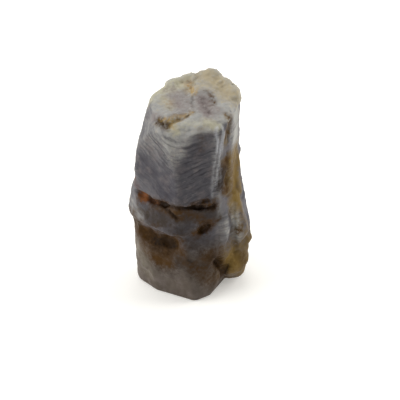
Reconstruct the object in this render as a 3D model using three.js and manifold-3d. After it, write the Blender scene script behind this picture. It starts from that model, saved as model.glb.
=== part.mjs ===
// A rough, unpolished sapphire: one stubby six-sided crystal that stands on its broken foot.
// Millimetres, +Z up. X runs to the viewer's right and Y away from the viewer. The shape is worked out around
// the crystal's own long axis, and moved at the end so that the origin is the middle of its foot.

import * as THREE from "three";
import { ConvexGeometry } from "three/addons/geometries/ConvexGeometry.js";
import { mergeVertices } from "three/addons/utils/BufferGeometryUtils.js";
import Module from "manifold-3d";

const wasm = await Module();
wasm.setup();

// Driving heights
const PEAK = 19.6; // highest point of the broken top
const FRONT_RIM = 17.2; // lowest part of the top's worn rim
const PARTING = 10.1; // the open crack all round the crystal
const COLLAR_FOOT = 7.2; // the ledge's overhanging edge, below the crack
const WAIST_TOP = 8.5; // where the waist ends, inside the collar
const WAIST_FOOT = 4.3; // where the body swells again towards the foot
const OVERLAP = 0.4; // how far stacked blocks run into each other before they are joined

// The compass of the crystal's faces, in degrees from +X
const FRONT_LEFT = -128;
const FRONT_EDGE = -103;
const FRONT_RIGHT = -78;
const TOP_FALL = -75; // the broken top falls gently this way
const LOW_FRONT_RIGHT = -55; // two faces of the foot, in front of the low knob
const LOW_RIGHT = -27;
const CORNER_RIGHT = -40;
const RIGHT = -15;
const BACK_RIGHT = 38;
const BACK = 109;
const BACK_LEFT = 132;
const LEFT = 172;
const CORNER_LEFT = -162;

// How far a face lies from the long axis
const FRONT_REACH = 4;
const SIDE_REACH = 4.85;
const BACK_REACH = 4.4;
const BARREL_LEAN = 8.5; // the sides of the barrel close in towards the top

const FAR = 60; // the size of a cutting box, well past the crystal
const HOLLOW_DETAIL = 1; // how finely a hollow is faceted
const SEED = 1907; // one fixed draw of wandering cracks, growth lines and chips

// How far a crack strays from its line: on a side by degrees and millimetres, and on the top by millimetres
const SIDE_WANDER = [0.7, 0.06];
const LINE_WANDER = [0.5, 0.03];
const TOP_WANDER = [0.06, 0.06];

// A three.js shape as a solid that can be joined and cut.
function solidOf(geometry) {
  const bare = geometry.clone();
  bare.deleteAttribute("normal");
  bare.deleteAttribute("uv");
  const merged = mergeVertices(bare);
  const triVerts = new Uint32Array(merged.index.array);
  return new wasm.Manifold(
    new wasm.Mesh({ numProp: 3, vertProperties: merged.attributes.position.array, triVerts }),
  );
}

// A solid as a three.js shape.
function geometryOf(solid) {
  const { numProp, numVert, vertProperties, triVerts } = solid.getMesh();
  const places = new Float32Array(numVert * 3);
  for (let i = 0; i < numVert; i++) {
    places.set(vertProperties.subarray(i * numProp, i * numProp + 3), i * 3);
  }
  const geometry = new THREE.BufferGeometry();
  geometry.setAttribute("position", new THREE.BufferAttribute(places, 3));
  geometry.setIndex(new THREE.BufferAttribute(new Uint32Array(triVerts), 1));
  return geometry;
}

// The next number of the fixed draw, between low and high.
function between(low, high) {
  return low + (high - low) * THREE.MathUtils.seededRandom();
}

// The outward direction of a face that looks towards azimuth and leans back by lean degrees.
function outwardOf(azimuth, lean = 0) {
  const turn = THREE.MathUtils.degToRad(azimuth);
  const tilt = THREE.MathUtils.degToRad(lean);
  return new THREE.Vector3(
    Math.cos(turn) * Math.cos(tilt),
    Math.sin(turn) * Math.cos(tilt),
    Math.sin(tilt),
  );
}

// Everything outside one flat face. Its plane is reach from the axis at the height level.
function beyond({ azimuth, reach, level = 0, lean = 0 }) {
  const outward = outwardOf(azimuth, lean);
  const middle = outwardOf(azimuth).multiplyScalar(reach);
  middle.z = level;
  middle.addScaledVector(outward, FAR / 2);
  const box = new THREE.BoxGeometry(FAR, FAR, FAR);
  box.applyQuaternion(
    new THREE.Quaternion().setFromUnitVectors(new THREE.Vector3(0, 0, 1), outward),
  );
  box.translate(middle.x, middle.y, middle.z);
  return solidOf(box);
}

// A convex block between two heights, cut to its faces.
function block({ foot, top, faces }) {
  const stock = new THREE.BoxGeometry(FAR / 2, FAR / 2, top - foot);
  stock.translate(0, 0, (foot + top) / 2);
  return faces.reduce((body, face) => body.subtract(beyond(face)), solidOf(stock));
}

// The material outside all the given planes at once, which a step or a chip takes away.
function chip(planes) {
  return planes.map(beyond).reduce((region, more) => region.intersect(more));
}

// The skin of a body. A place on its side is found by azimuth and height, and one on its top by x and y.
// A place on an edge is a place on the side that faces straight outward.
function skinOf(body) {
  const shell = new THREE.Mesh(geometryOf(body));
  const placeAlong = (origin, direction) => {
    const [hit] = new THREE.Raycaster(origin, direction).intersectObject(shell);
    return { point: hit.point, normal: hit.face.normal.clone() };
  };
  const side = ([azimuth, height]) => {
    const outward = outwardOf(azimuth);
    return placeAlong(outward.clone().multiplyScalar(FAR).setZ(height), outward.negate());
  };
  return {
    side,
    top: ([x, y]) => placeAlong(new THREE.Vector3(x, y, FAR), new THREE.Vector3(0, 0, -1)),
    edge: ([azimuth, height]) => ({ ...side([azimuth, height]), normal: outwardOf(azimuth) }),
  };
}

// A V-shaped groove along a path of places on the skin. It is uneven, and tapers to a point at both ends.
function groove(path, { width, depth }) {
  const proud = 0.5; // how far the cutter stands out of the skin, as a share of its depth
  const last = path.length - 1;
  const corners = [path[0].point];
  for (let i = 1; i < last; i++) {
    const { point, normal } = path[i];
    const along = path[i + 1].point.clone().sub(path[i - 1].point).normalize();
    const across = new THREE.Vector3().crossVectors(normal, along).normalize();
    const fade = Math.min(1, (2 * Math.min(i, last - i)) / last + 0.35);
    const half = (width / 2) * (1 + proud) * fade * between(0.75, 1.25);
    const deep = depth * fade * between(0.75, 1.25);
    const crest = point.clone().addScaledVector(normal, depth * proud);
    corners.push(
      crest.clone().addScaledVector(across, half),
      point.clone().addScaledVector(normal, -deep),
      crest.clone().addScaledVector(across, -half),
    );
  }
  corners.push(path[last].point);
  const corner = (ring, side) => {
    if (ring === 0) return 0;
    return ring === last ? corners.length - 1 : 3 * ring - 2 + (side % 3);
  };
  const index = [];
  for (let ring = 0; ring < last; ring++) {
    for (let side = 0; side < 3; side++) {
      const [a, b] = [corner(ring, side), corner(ring, side + 1)];
      const [c, d] = [corner(ring + 1, side), corner(ring + 1, side + 1)];
      if (c !== d) index.push(a, c, d);
      if (a !== b) index.push(a, d, b);
    }
  }
  const geometry = new THREE.BufferGeometry().setFromPoints(corners);
  return solidOf(geometry.setIndex(index));
}

// A crack through the given spots, each found on the skin by place. It wanders a little on its way.
function crack(place, { path, width, depth, wander }) {
  const steps = 2; // from one spot to the next
  const places = [];
  for (let i = 0; i < path.length - 1; i++) {
    for (let step = 0; step < steps; step++) {
      const spot = path[i].map((start, k) => {
        const stray = i + step === 0 ? 0 : between(-wander[k], wander[k]);
        return start + ((path[i + 1][k] - start) * step) / steps + stray;
      });
      places.push(place(spot));
    }
  }
  places.push(place(path[path.length - 1]));
  return groove(places, { width, depth });
}

// The turn that lays a shape on a face: its X goes across, its Y up the face and its Z outward.
function facing(normal) {
  const flat = Math.abs(normal.z) > 0.8;
  const upright = new THREE.Vector3(0, flat ? 1 : 0, flat ? 0 : 1);
  const across = new THREE.Vector3().crossVectors(upright, normal).normalize();
  const upFace = new THREE.Vector3().crossVectors(normal, across);
  return new THREE.Quaternion().setFromRotationMatrix(
    new THREE.Matrix4().makeBasis(across, upFace, normal),
  );
}

// A shallow shell-shaped hollow where a flake has come off: so wide, so tall and so deep.
function hollow({ point, normal }, { width, height, depth, detail = HOLLOW_DETAIL }) {
  const widen = 1 / Math.sqrt(3); // a ball sunk by half its radius leaves a mouth sqrt(3) radii wide
  const ball = new THREE.IcosahedronGeometry(1, detail);
  ball.rotateZ(between(0, Math.PI));
  ball.rotateX(between(0, Math.PI));
  ball.scale(width * widen, height * widen, depth * 2);
  ball.applyQuaternion(facing(normal));
  const middle = point.clone().addScaledVector(normal, depth);
  ball.translate(middle.x, middle.y, middle.z);
  return solidOf(ball);
}

// Uneven shell-shaped chips along an edge between two spots, each found on the skin by place.
function chippedEdge(place, { from, to, count, size }) {
  return Array.from({ length: count }, (_, i) => {
    const share = (i + between(0.1, 0.9)) / count;
    const spot = from.map((start, k) => start + (to[k] - start) * share);
    const width = size * between(0.8, 1.6);
    const height = width * between(1.1, 1.8);
    return hollow(place(spot), { width, height, depth: width * between(0.1, 0.17), detail: 0 });
  });
}

// A lump of rough crystal: the convex block round its corners.
function chunk(corners) {
  return solidOf(new ConvexGeometry(corners.map((corner) => new THREE.Vector3(...corner))));
}

// The upper prism: its faces close in a little towards the broken top
function upperPrism() {
  const level = PARTING;
  return block({
    foot: PARTING - OVERLAP,
    top: PEAK + 1,
    faces: [
      { azimuth: FRONT_LEFT, reach: FRONT_REACH, level, lean: -1 },
      { azimuth: FRONT_RIGHT, reach: FRONT_REACH, level },
      { azimuth: CORNER_RIGHT, reach: FRONT_REACH + 0.18, level },
      { azimuth: RIGHT, reach: FRONT_REACH + 0.2, level, lean: 0.5 },
      { azimuth: BACK_RIGHT, reach: BACK_REACH + 0.15, level, lean: 2 },
      { azimuth: BACK, reach: BACK_REACH, level, lean: BARREL_LEAN },
      { azimuth: BACK_LEFT, reach: BACK_REACH + 0.1, level, lean: BARREL_LEAN },
      { azimuth: LEFT, reach: SIDE_REACH - 0.12, level, lean: BARREL_LEAN - 3 },
      { azimuth: LEFT, reach: SIDE_REACH - 0.5, level: 14, lean: BARREL_LEAN + 2 },
      // worn front edge, left shoulder and front rim
      { azimuth: FRONT_EDGE, reach: 4.36, level: 13.9, lean: 6 },
      { azimuth: CORNER_LEFT, reach: 3.12, level: 18.4, lean: 27 },
      { azimuth: FRONT_LEFT, reach: 3.75, level: 17.5, lean: 40 },
      { azimuth: FRONT_EDGE, reach: 3.75, level: 17.3, lean: 42 },
      { azimuth: FRONT_RIGHT, reach: 3.85, level: 17.5, lean: 48 },
      // broken top, falling gently towards the viewer
      { azimuth: TOP_FALL, reach: 0, level: 18.85, lean: 77 },
    ],
  });
}

// What has broken off the top: its lower left half, the front ledge and the right shoulder
function topSteps() {
  const leftHalf = chip([
    { azimuth: -112, reach: 0, level: 18.66, lean: 80 },
    { azimuth: LEFT, reach: -0.35 },
  ]);
  const frontLedge = chip([
    { azimuth: -95, reach: 2.9, level: 18.05, lean: 66 },
    { azimuth: -63, reach: 1.95 },
    { azimuth: FRONT_EDGE, reach: 2.15 },
  ]);
  const shoulder = chip([
    { azimuth: -35, reach: 2.9, level: 18.6, lean: 58 },
    { azimuth: -15, reach: 2.2 },
  ]);
  return [leftHalf, frontLedge, shoulder];
}

// The collar: the ledge that stands out under the parting crack, and overhangs the waist on the left
function collar() {
  const level = 8;
  return block({
    foot: COLLAR_FOOT - OVERLAP,
    top: PARTING,
    faces: [
      { azimuth: FRONT_LEFT, reach: 4.28, level, lean: 8 },
      { azimuth: FRONT_RIGHT, reach: 4.05, level, lean: 1.5 },
      { azimuth: CORNER_RIGHT, reach: 4.2, level, lean: 1 },
      { azimuth: RIGHT, reach: 4.62, level, lean: BARREL_LEAN - 1 },
      { azimuth: BACK_RIGHT, reach: 4.85, level, lean: 7 },
      { azimuth: BACK, reach: BACK_REACH + 0.2, level, lean: 3 },
      { azimuth: BACK_LEFT, reach: BACK_REACH + 0.15, level, lean: 3 },
      { azimuth: LEFT, reach: SIDE_REACH + 0.3, level, lean: 4 },
      { azimuth: CORNER_LEFT, reach: SIDE_REACH + 0.2, level, lean: 6 },
      // the underside, which rises towards the back
      { azimuth: 90, reach: -FRONT_REACH, level: COLLAR_FOOT, lean: -84 },
    ],
  });
}

// The waist under the collar, drawn in a little on the left
function waist() {
  const level = WAIST_FOOT;
  return block({
    foot: WAIST_FOOT - OVERLAP,
    top: WAIST_TOP,
    faces: [
      { azimuth: FRONT_LEFT + 7, reach: 3.6, level, lean: -4 },
      { azimuth: FRONT_RIGHT, reach: 3.98, level },
      { azimuth: CORNER_RIGHT, reach: 4.15, level, lean: -1 },
      { azimuth: RIGHT, reach: 5.2, level, lean: 7 },
      { azimuth: BACK_RIGHT, reach: 5.1, level, lean: 4 },
      { azimuth: BACK, reach: BACK_REACH + 0.2, level },
      { azimuth: BACK_LEFT, reach: BACK_REACH + 0.1, level },
      { azimuth: LEFT, reach: SIDE_REACH, level, lean: -1 },
      { azimuth: CORNER_LEFT, reach: SIDE_REACH - 0.1, level, lean: -2 },
    ],
  });
}

// The foot: it narrows to a blunt front point, and is broken off flat
function foot() {
  return block({
    foot: 0,
    top: WAIST_FOOT + OVERLAP,
    faces: [
      { azimuth: FRONT_LEFT + 11, reach: 3.3, lean: -5 },
      { azimuth: FRONT_LEFT - 10, reach: 3.66, lean: -7 },
      { azimuth: FRONT_RIGHT, reach: 3.9, lean: -1 },
      { azimuth: LOW_FRONT_RIGHT, reach: 3.6, lean: -6 },
      { azimuth: LOW_RIGHT, reach: 3.1, lean: -16 },
      { azimuth: RIGHT + 20, reach: 5, lean: -3 },
      { azimuth: BACK_RIGHT, reach: 4.8, lean: -4 },
      { azimuth: BACK, reach: BACK_REACH, lean: -3 },
      { azimuth: BACK_LEFT, reach: BACK_REACH - 0.15, lean: -3 },
      { azimuth: LEFT, reach: SIDE_REACH - 0.08, lean: -1 },
      { azimuth: CORNER_LEFT, reach: 4.45, lean: -4 },
    ],
  });
}

// Lumps and ridges grown on the sides
function lumps() {
  const stainedRidge = [
    [3.6, -1.0, 13.6], [4.3, 0.3, 14.2], [4.1, 1.4, 13.4], [4.6, 0.2, 12.6], [4.75, 0.9, 10.6],
    [4.5, -0.9, 10.2], [4.5, 1.6, 9.4], [4.8, -0.1, 8.8], [3.0, -0.5, 9], [3.0, 1.2, 12.5],
  ];
  const smallKnob = [
    [4.0, 0.6, 16.9], [4.75, 1.0, 16.5], [4.65, 0.6, 15.8], [4.1, 1.4, 15.9], [3.6, 0.4, 15.6],
    [3.5, 1.3, 16.7],
  ];
  const nearRidge = [
    [2.9, -2.8, 10.2], [3.4, -2.5, 9.6], [2.7, -3.5, 8.6], [3.45, -3.05, 8.3], [3.9, -2.3, 7.6],
    [2.9, -3.5, 6.6], [3.6, -2.9, 6.2], [3.1, -2.8, 4.6], [2.4, -2.6, 7],
  ];
  const farRidge = [
    [4.2, -1.3, 10.0], [4.5, -0.7, 9.6], [4.2, -1.9, 8.4], [4.75, -1.3, 8.1], [5.05, -0.4, 7.4],
    [4.4, -2.0, 6.2], [5.3, -1.2, 5.8], [4.4, -1.7, 4.4], [5.5, -0.3, 4.9], [3.2, -0.8, 7],
  ];
  const lowKnob = [
    [3.6, -1.8, 3.6], [4.8, -1.5, 3.7], [5.5, -0.4, 3.8], [3.4, -2.4, 2.1], [4.8, -1.9, 2.1],
    [5.6, -0.7, 2.2], [5.4, 1.2, 3.2], [5.4, 0.5, 0.8], [5.0, 1.5, 0.1], [4.7, -0.6, 0.5],
    [3.7, -0.8, 0.3], [2.9, 0, 0.1], [3, 0, 4],
  ];
  const backSwelling = [
    [-0.6, 4.7, 7.4], [-2.2, 4.2, 7.8], [-3.6, 2.9, 6.8], [-1.4, 4.9, 5.2], [-3.0, 4.0, 4.6],
    [-3.9, 2.8, 4.2], [-2.0, 4.4, 3.0], [-1.5, 2.5, 5.5],
  ];
  const backRidge = [
    [2.2, 3.7, 15.4], [3.4, 2.6, 15.2], [3.6, 2.8, 13.4], [2.6, 4.0, 13.0], [3.9, 2.6, 11.2],
    [3.0, 3.7, 10.8], [2, 2.4, 13],
  ];
  return [stainedRidge, smallKnob, nearRidge, farRidge, lowKnob, backSwelling, backRidge].map(chunk);
}

// The open parting: it runs round the whole crystal, and is widest at the front left
function partingCracks(skin) {
  const z = PARTING;
  const runs = [
    { path: [[-176, z], [-160, z - 0.05], [-148, z - 0.15], [-134, z - 0.2]], width: 0.75, depth: 0.6 },
    { path: [[-140, z - 0.15], [-122, z - 0.1], [-103, z - 0.05]], width: 0.5, depth: 0.5 },
    { path: [[-110, z], [-90, z - 0.1], [-74, z - 0.15], [-46, z + 0.1]], width: 0.4, depth: 0.5 },
    { path: [[-88, z + 0.1], [-76, z + 0.25], [-62, z + 0.65]], width: 0.5, depth: 0.5 },
    { path: [[-46, z + 0.1], [-30, z + 0.2], [-12, z]], width: 0.3, depth: 0.35 },
    { path: [[-176, z], [165, z + 0.1], [146, z + 0.05], [128, z + 0.2]], width: 0.5, depth: 0.45 },
    { path: [[128, z + 0.2], [108, z + 0.25], [88, z + 0.2], [66, z + 0.1]], width: 0.4, depth: 0.4 },
    { path: [[66, z + 0.1], [48, z - 0.1], [30, z - 0.3], [12, z - 0.4]], width: 0.5, depth: 0.5 },
    // the thinner crack beside it on the collar
    { path: [[-132, z - 0.4], [-117, z - 0.55], [-104, z - 0.75], [-95, z - 1.1]], width: 0.2, depth: 0.25 },
  ];
  return runs.map((run) => crack(skin.side, { ...run, wander: SIDE_WANDER }));
}

// Smaller cracks, slots and gaps on the sides
function sideCracks(skin) {
  const runs = [
    // notch on the front
    { path: [[-82, 7.1], [-70, 7.6], [-57, 8.3]], width: 0.6, depth: 0.5 },
    // slot near the top of the right face, and the gap beside the stained ridge
    { path: [[-22, 17.9], [-31, 16.9], [-38, 15.4]], width: 0.55, depth: 0.45 },
    { path: [[-36, 15.6], [-38, 14.2], [-36, 13]], width: 0.3, depth: 0.3 },
    { path: [[-34, 13.2], [-37, 12], [-35, 10.8]], width: 0.6, depth: 0.5 },
    // the gap beside the low knob, and the hollow above the foot
    { path: [[-56, 4.9], [-50, 3.7], [-36, 2.4], [-28, 1]], width: 1.1, depth: 0.6 },
    { path: [[-106, 4.7], [-88, 4.5], [-66, 4.6]], width: 0.6, depth: 0.2 },
    // partings on the back
    { path: [[14, 6.3], [32, 6], [52, 5.8], [74, 5.5]], width: 0.5, depth: 0.4 },
    { path: [[62, 15], [86, 14.8], [108, 14.5]], width: 0.4, depth: 0.3 },
    { path: [[104, 14.4], [128, 14.2], [150, 14]], width: 0.35, depth: 0.3 },
  ];
  return runs.map((run) => crack(skin.side, { ...run, wander: SIDE_WANDER }));
}

// Cracks in the broken top
function topCracks(skin) {
  const runs = [
    // the stained crack behind the front ledge
    { path: [[-2.7, -2.0], [-2.3, -2.6], [-1.9, -3.2]], width: 0.6, depth: 0.45 },
    { path: [[-1.9, -3.2], [-1.1, -2.8], [-0.4, -2.5], [0.1, -2.1], [0.6, -1.8]], width: 0.45, depth: 0.4 },
    // the one that splits the top, and the step beside it
    { path: [[0.4, -2], [0.35, -0.9], [0.4, 0.3]], width: 0.28, depth: 0.3 },
    { path: [[0.7, -0.2], [1.3, -1.1], [1.9, -1.8], [2.3, -2.5]], width: 0.45, depth: 0.25 },
    { path: [[0.4, 0.6], [0.2, 1.4], [0.5, 2.4]], width: 0.5, depth: 0.25 },
  ];
  return runs.map((run) => crack(skin.top, { ...run, wander: TOP_WANDER }));
}

// Hollows where pieces have broken away
function hollows(skin) {
  const onSides = [
    // brown hollows low on the front left, and the pit on the right face
    { at: [-150, 6.1], width: 3, height: 1.9, depth: 0.4 },
    { at: [-119, 6], width: 2.6, height: 1.7, depth: 0.5 },
    { at: [-36, 12], width: 0.9, height: 1, depth: 0.35 },
    // shallow shells on the left and at the back
    { at: [174, 13.6], width: 2.6, height: 3, depth: 0.3 },
    { at: [38, 8.4], width: 2.6, height: 2.2, depth: 0.4 },
    { at: [112, 17.2], width: 3, height: 2.4, depth: 0.45 },
    { at: [136, 2], width: 2.4, height: 2, depth: 0.4 },
    { at: [40, 17.4], width: 1.8, height: 2.2, depth: 0.35 },
    { at: [84, 8], width: 2, height: 1.6, depth: 0.25 },
  ];
  const onTop = [
    { at: [-0.1, 1.3], width: 0.9, height: 1.6, depth: 0.2 },
    { at: [1.8, -0.5], width: 2.4, height: 1.6, depth: 0.16 },
    { at: [-1.8, -0.6], width: 2.8, height: 3, depth: 0.14 },
    { at: [3.2, 1.7], width: 2.2, height: 3, depth: 0.2 },
  ];
  return [
    ...onSides.map(({ at, ...size }) => hollow(skin.side(at), size)),
    ...onTop.map(({ at, ...size }) => hollow(skin.top(at), size)),
  ];
}

// Growth lines on the two front faces: shallow broken grooves that rise away from the front edge, on the left
// all alike, and on the right more steeply low down
function growthLines(skin) {
  const spacing = [0.36, 0.8]; // from one line to the next
  const left = { edge: -110, turn: -50 };
  const right = { edge: -98, turn: 40 };
  const grooves = [];
  for (let z = PARTING + 0.7; z < PEAK - 3; z += between(...spacing)) {
    const rightRise = THREE.MathUtils.mapLinear(z, PARTING, PEAK - 2, 2.4, 0.4);
    for (const [face, rise] of [[left, 2.4], [right, rightRise]]) {
      if (z + rise > FRONT_RIM) continue;
      const near = between(0, 0.25);
      const far = between(0.7, 1);
      const spot = (share) => [face.edge + face.turn * share, z + rise * share + between(-0.1, 0.1)];
      const path = [spot(near), spot((near + far) / 2), spot(far)];
      const size = { width: between(0.16, 0.3), depth: between(0.03, 0.06) };
      grooves.push(crack(skin.side, { path, ...size, wander: LINE_WANDER }));
    }
  }
  return grooves;
}

// Chipped edges, from the rim of the top to the foot
function chippedEdges(skin) {
  const rims = [
    { from: [-3.4, 0.4], to: [-2.5, -2.7], count: 2, size: 1 },
    { from: [3.4, -2.2], to: [4.3, 0.4], count: 2, size: 0.9 },
    { from: [4.1, 1.1], to: [2.4, 3.2], count: 2, size: 1.1 },
    { from: [1.2, 3.5], to: [-1.8, 2.3], count: 2, size: 1.1 },
  ];
  const edges = [
    // the two corners beside the right face
    { from: [-56, 11], to: [-55, 17.2], count: 3, size: 0.9 },
    { from: [-28, 11], to: [-28, 17.6], count: 3, size: 0.8 },
    // the left and back edges
    { from: [12, 11], to: [10, 18], count: 3, size: 1.2 },
    { from: [62, 11], to: [63, 18.4], count: 3, size: 1.4 },
    { from: [116, 11], to: [112, 18], count: 3, size: 1.3 },
    { from: [150, 11], to: [160, 17.8], count: 3, size: 1.2 },
    { from: [-163, 11], to: [-160, 15], count: 2, size: 1 },
    // the collar, and the corners below it at the back
    { from: [-165, 9.2], to: [-160, 7.6], count: 1, size: 1.1 },
    { from: [152, 1.4], to: [150, 9], count: 3, size: 1.5 },
    { from: [120, 1.4], to: [118, 9], count: 3, size: 1.4 },
    { from: [60, 1.4], to: [60, 9], count: 3, size: 1.5 },
  ];
  return [
    ...rims.flatMap((edge) => chippedEdge(skin.top, edge)),
    ...edges.flatMap((edge) => chippedEdge(skin.edge, edge)),
  ];
}

function sapphire() {
  THREE.MathUtils.seededRandom(SEED);
  const grown = [upperPrism(), collar(), waist(), foot(), ...lumps()].reduce((a, b) => a.add(b));
  const broken = [beyond({ azimuth: 0, reach: 0, level: 0, lean: -90 }), ...topSteps()].reduce(
    (body, gone) => body.subtract(gone),
    grown,
  );
  const skin = skinOf(broken);
  const worn = [
    ...hollows(skin),
    ...growthLines(skin),
    ...chippedEdges(skin),
    ...partingCracks(skin),
    ...sideCracks(skin),
    ...topCracks(skin),
  ].reduce((body, gone) => body.subtract(gone), broken);
  const geometry = geometryOf(worn);
  geometry.computeBoundingBox();
  const middle = geometry.boundingBox.getCenter(new THREE.Vector3());
  geometry.translate(-middle.x, -middle.y, 0);
  geometry.computeVertexNormals();
  return geometry;
}

const crystal = new THREE.Mesh(
  sapphire(),
  new THREE.MeshStandardMaterial({
    name: "rough sapphire",
    color: 0x77757b,
    roughness: 0.55,
    metalness: 0,
    flatShading: true,
  }),
);
crystal.name = "sapphire_crystal";

const part = new THREE.Group();
part.name = "rough_sapphire";
part.add(crystal);

export default part;
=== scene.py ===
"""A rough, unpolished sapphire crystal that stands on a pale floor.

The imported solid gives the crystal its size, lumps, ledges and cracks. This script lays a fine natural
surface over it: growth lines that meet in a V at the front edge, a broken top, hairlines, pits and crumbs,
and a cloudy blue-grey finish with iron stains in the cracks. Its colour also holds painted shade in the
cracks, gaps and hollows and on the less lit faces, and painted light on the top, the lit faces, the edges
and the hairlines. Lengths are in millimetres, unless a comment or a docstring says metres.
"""

import itertools
import logging
import math
from collections.abc import Iterator
from dataclasses import dataclass, field
from enum import Enum, IntEnum

import bpy
import numpy as np
from mathutils import Matrix, Vector


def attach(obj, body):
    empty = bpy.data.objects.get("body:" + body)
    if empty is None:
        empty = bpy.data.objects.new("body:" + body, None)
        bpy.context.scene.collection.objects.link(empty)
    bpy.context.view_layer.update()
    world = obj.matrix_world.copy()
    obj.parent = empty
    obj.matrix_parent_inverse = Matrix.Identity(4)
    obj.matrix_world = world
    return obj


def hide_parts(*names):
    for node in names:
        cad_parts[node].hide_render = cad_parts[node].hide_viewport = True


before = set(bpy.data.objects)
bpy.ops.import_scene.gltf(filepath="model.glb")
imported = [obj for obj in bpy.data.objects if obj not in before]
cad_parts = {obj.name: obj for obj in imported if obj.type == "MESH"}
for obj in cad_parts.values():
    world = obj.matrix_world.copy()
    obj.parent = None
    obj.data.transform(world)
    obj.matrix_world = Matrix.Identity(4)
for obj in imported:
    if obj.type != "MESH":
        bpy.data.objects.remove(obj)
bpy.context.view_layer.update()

MILLIMETRE = 0.001  # in metres
CRYSTAL_NODE = "sapphire_crystal"

# The crystal's own long axis, from the middle of its foot, and its main forms round that axis
AXIS_X = -0.21
AXIS_Y = -0.546
FRONT_EDGE = -104.0  # in degrees from +X, as every azimuth here
MEAN_RADIUS = 4.3
PARTING = 10.1  # the height of the open crack
COLLAR_EDGE = 7.2  # the height of the ledge's lower edge
FOOT_SWELLING = 4.6  # the height below which the foot swells
TOP_RIM = 17.6  # the height of the top's front rim

Colour = tuple[float, float, float]
Places = tuple[tuple[float, float], ...]
Socket = bpy.types.NodeSocket

log = logging.getLogger("rough_sapphire")


def srgb(red: int, green: int, blue: int) -> Colour:
    """Turns a colour as a screen shows it into the linear one that a shader takes.

    Args:
        red: Red, 0 to 255.
        green: Green, 0 to 255.
        blue: Blue, 0 to 255.

    Returns:
        The linear colour, each part 0 to 1.
    """
    return tuple(((part / 255 + 0.055) / 1.055) ** 2.4 for part in (red, green, blue))


def ease(share: np.ndarray) -> np.ndarray:
    """Bends a share from 0 to 1 so that it starts and ends softly."""
    kept = np.clip(share, 0, 1)
    return kept * kept * (3 - 2 * kept)


def between(values: np.ndarray, low: float, high: float) -> np.ndarray:
    """Steps softly from 0 at low to 1 at high. Low may be the larger one."""
    return ease((values - low) / (high - low))


def fading(gap: np.ndarray, reach: float | np.ndarray) -> np.ndarray:
    """Returns 1 where the gap to a mark's middle is least, and 0 from a little past the mark's reach."""
    return ease(1.15 - gap / reach)


class Surface(Enum):
    """Where a trace lies: on the sides, by azimuth and height, or on the broken top, by x and y."""

    SIDE = "side"
    TOP = "top"


class Stain(Enum):
    """What colours the crystal besides its own blue-grey, painted shade and light among them. Each value
    names the mesh's attribute.
    """

    # Brown iron stain, and painted shade in a few gaps and on the knob's shaded side.
    BROWN = "brown_stain_and_shade"
    # Painted shade inside cracks, gaps and shaded recesses.
    DARK = "painted_recess_shade"
    RUST = "rust_stain"
    OLIVE = "olive_stain"
    OCHRE = "ochre_crumbs"
    # Pale bruising, and painted light on the top, the lit faces, the shoulders and the ridges.
    PALE_AND_LIT = "bruising_and_painted_light"
    # Painted glints along the right corner's hairlines.
    WHITE = "painted_hairline_glints"
    CREAM = "cream_crust"
    PEACH = "peach_tint"
    MAUVE = "mauve_tint"
    # A thin brown film, and painted shade in hollows, valleys and gaps.
    UMBER_AND_SHADE = "umber_film_and_shade"


class Form(Enum):
    """What the finish reads off the crystal's own form, painted shade and light among them. Each value names
    the mesh's attribute.
    """

    # Paler convex edges: wear, and a painted edge highlight.
    WORN_AND_LIT_EDGES = "worn_and_lit_edges"
    # Painted shade on the faces that get less light.
    SHADED_FACE = "painted_face_shade"
    # Darker and browner towards the foot: light stain, and painted shade.
    LOW_STAIN_AND_SHADE = "low_stain_and_shade"
    ACROSS_GROWTH = "growth_across"
    ALONG_GROWTH = "growth_along"
    GROWTH_STRENGTH = "growth_strength"


class Draw(IntEnum):
    """The seed of each fixed draw, or the first of its seeds."""

    RAGGED_BORDERS = 5
    SWELLS = 7
    GRAIN = 9
    GROWTH_WOBBLE = 11
    DRIFT = 13
    GROWTH_LINES = 20
    CORNER_WOBBLE = 31
    CORNER_HAIRLINES = 32
    COARSE_FACETS = 41
    FINE_FACETS = 51
    CRUMBS = 61
    PITS = 71


@dataclass(frozen=True)
class Trace:
    """A line through a few places on the crystal, with a soft ragged border.

    Attributes:
        stain: What it colours.
        places: The places, as its surface gives them.
        reach: How far it spreads from its line.
        strength: How strong it is on its line, 0 to 1.
        surface: Which surface the places are on.
        depth: How deep its line is cut into the crystal, or less than 0 where it stands proud.
    """

    stain: Stain
    places: Places
    reach: float
    strength: float = 1.0
    surface: Surface = Surface.SIDE
    depth: float = 0.0


@dataclass(frozen=True)
class GradientNoise:
    """Smooth noise in space from one fixed draw, about -1 to 1.

    Attributes:
        seed: The number of the draw.
    """

    seed: int

    def at(self, points: np.ndarray) -> np.ndarray:
        """Reads the noise.

        Args:
            points: Places, one row each, in steps of the noise's lattice.

        Returns:
            One value for each place.
        """
        size = 256  # cells in each direction before the lattice repeats
        full = 1.6  # brings the noise's peaks close to 1
        draw = np.random.default_rng(self.seed)
        order = draw.permutation(size)
        slopes = draw.normal(size=(size, 3))
        slopes /= np.linalg.norm(slopes, axis=1)[:, None]
        cell = np.floor(points).astype(np.int64)
        inside = points - cell
        fade = inside**3 * (inside * (inside * 6 - 15) + 10)
        total = np.zeros(len(points))
        for corner in itertools.product((0, 1), repeat=3):
            x, y, z = (cell + corner).T % size
            slope = slopes[order[(order[(order[x] + y) % size] + z) % size]]
            weight = np.prod(np.where(np.array(corner) == 1, fade, 1 - fade), axis=1)
            total += weight * np.einsum("ij,ij->i", slope, inside - corner)
        return total * full

    def layered(self, points: np.ndarray, layers: int = 3, gain: float = 0.5) -> np.ndarray:
        """Adds finer and fainter copies of the noise to itself.

        Args:
            points: Places, one row each.
            layers: How many copies there are.
            gain: How strong each copy is, as a share of the one before.

        Returns:
            One value for each place.
        """
        return sum(gain**i * GradientNoise(self.seed + i).at(points * 2**i) for i in range(layers))


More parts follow.
